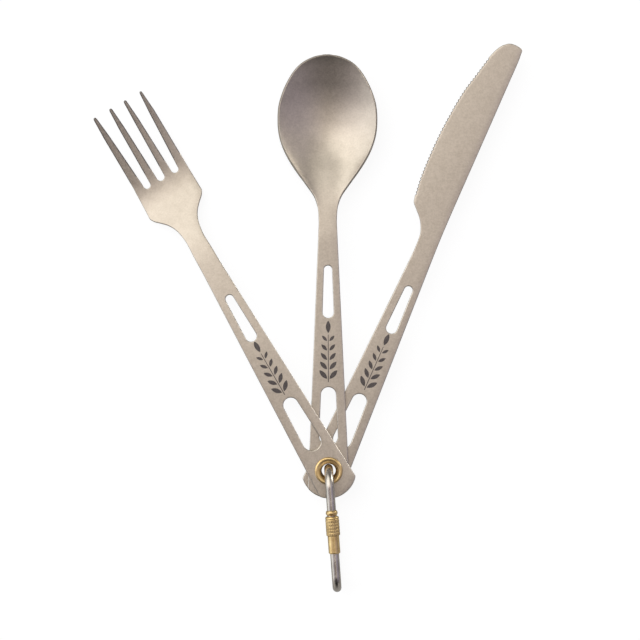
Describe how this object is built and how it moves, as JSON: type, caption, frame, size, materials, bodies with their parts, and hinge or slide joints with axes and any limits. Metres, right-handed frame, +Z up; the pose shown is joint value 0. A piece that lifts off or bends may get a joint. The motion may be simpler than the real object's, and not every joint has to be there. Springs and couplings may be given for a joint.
{
  "type": "picnic cutlery",
  "caption": "Flat-handled titanium fork, spoon and knife fanned out on one brass eyelet, on a long steel wire link with a knurled brass screw lock.",
  "frame": {"origin": "centre of the bounding box in X and Y, on the table that the ring's back leg and the spoon's and fork's heads touch", "axes": "+Y from the ring to the heads, along the spoon's handle; +X to the knife's side of the fan; +Z up, normal to the flat handles"},
  "size_m": [0.1602, 0.2042, 0.018],
  "materials": {
    "titanium": "bead-blasted bare titanium, warm grey",
    "brass": "bare, turned and polished",
    "wire": "polished stainless steel wire"
  },
  "bodies": {
    "fork_body": {"fork": "titanium"},
    "spoon_body": {"spoon": "titanium"},
    "knife_body": {"knife": "titanium"},
    "eyelet_body": {"eyelet_barrel": "brass", "eyelet_washer": "brass"},
    "ring_body": {"ring_wire": "wire", "nose_collar": "brass"},
    "sleeve_body": {"nut_sleeve": "brass"},
    "nut_body": {"lock_nut": "brass"}
  },
  "joints": [
    {"name": "spoon_swing", "type": "hinge", "parent": "fork_body", "child": "spoon_body", "pos_m": [0.00777, -0.05717, 0.0085], "axis": [0, 0, 1], "range_deg": [-45, 15]},
    {"name": "knife_swing", "type": "hinge", "parent": "spoon_body", "child": "knife_body", "pos_m": [0.00777, -0.05717, 0.0085], "axis": [0, 0, 1], "range_deg": [-45, 8]},
    {"name": "ring_swing", "type": "hinge", "parent": "fork_body", "child": "eyelet_body", "pos_m": [0.00777, -0.05717, 0.0085], "axis": [0, 0, 1], "range_deg": [-50, 50]},
    {"name": "ring_tilt", "type": "hinge", "parent": "eyelet_body", "child": "ring_body", "pos_m": [0.0082, -0.0632, 0.0085], "axis": [-0.9974, -0.0715, 0], "range_deg": [-90, 90]},
    {"name": "sleeve_slide", "type": "slide", "parent": "ring_body", "child": "sleeve_body", "axis": [0.0715, -0.9974, 0], "range_m": [0, 0.007]},
    {"name": "nut_turn", "type": "hinge", "parent": "sleeve_body", "child": "nut_body", "pos_m": [0.0092, -0.07712, 0.01535], "axis": [0.0715, -0.9974, 0], "range_deg": [0, 5041]}
  ],
  "couplings": [
    {"joint": "nut_turn", "follows": "sleeve_slide", "rad_per_m": 12566}
  ]
}
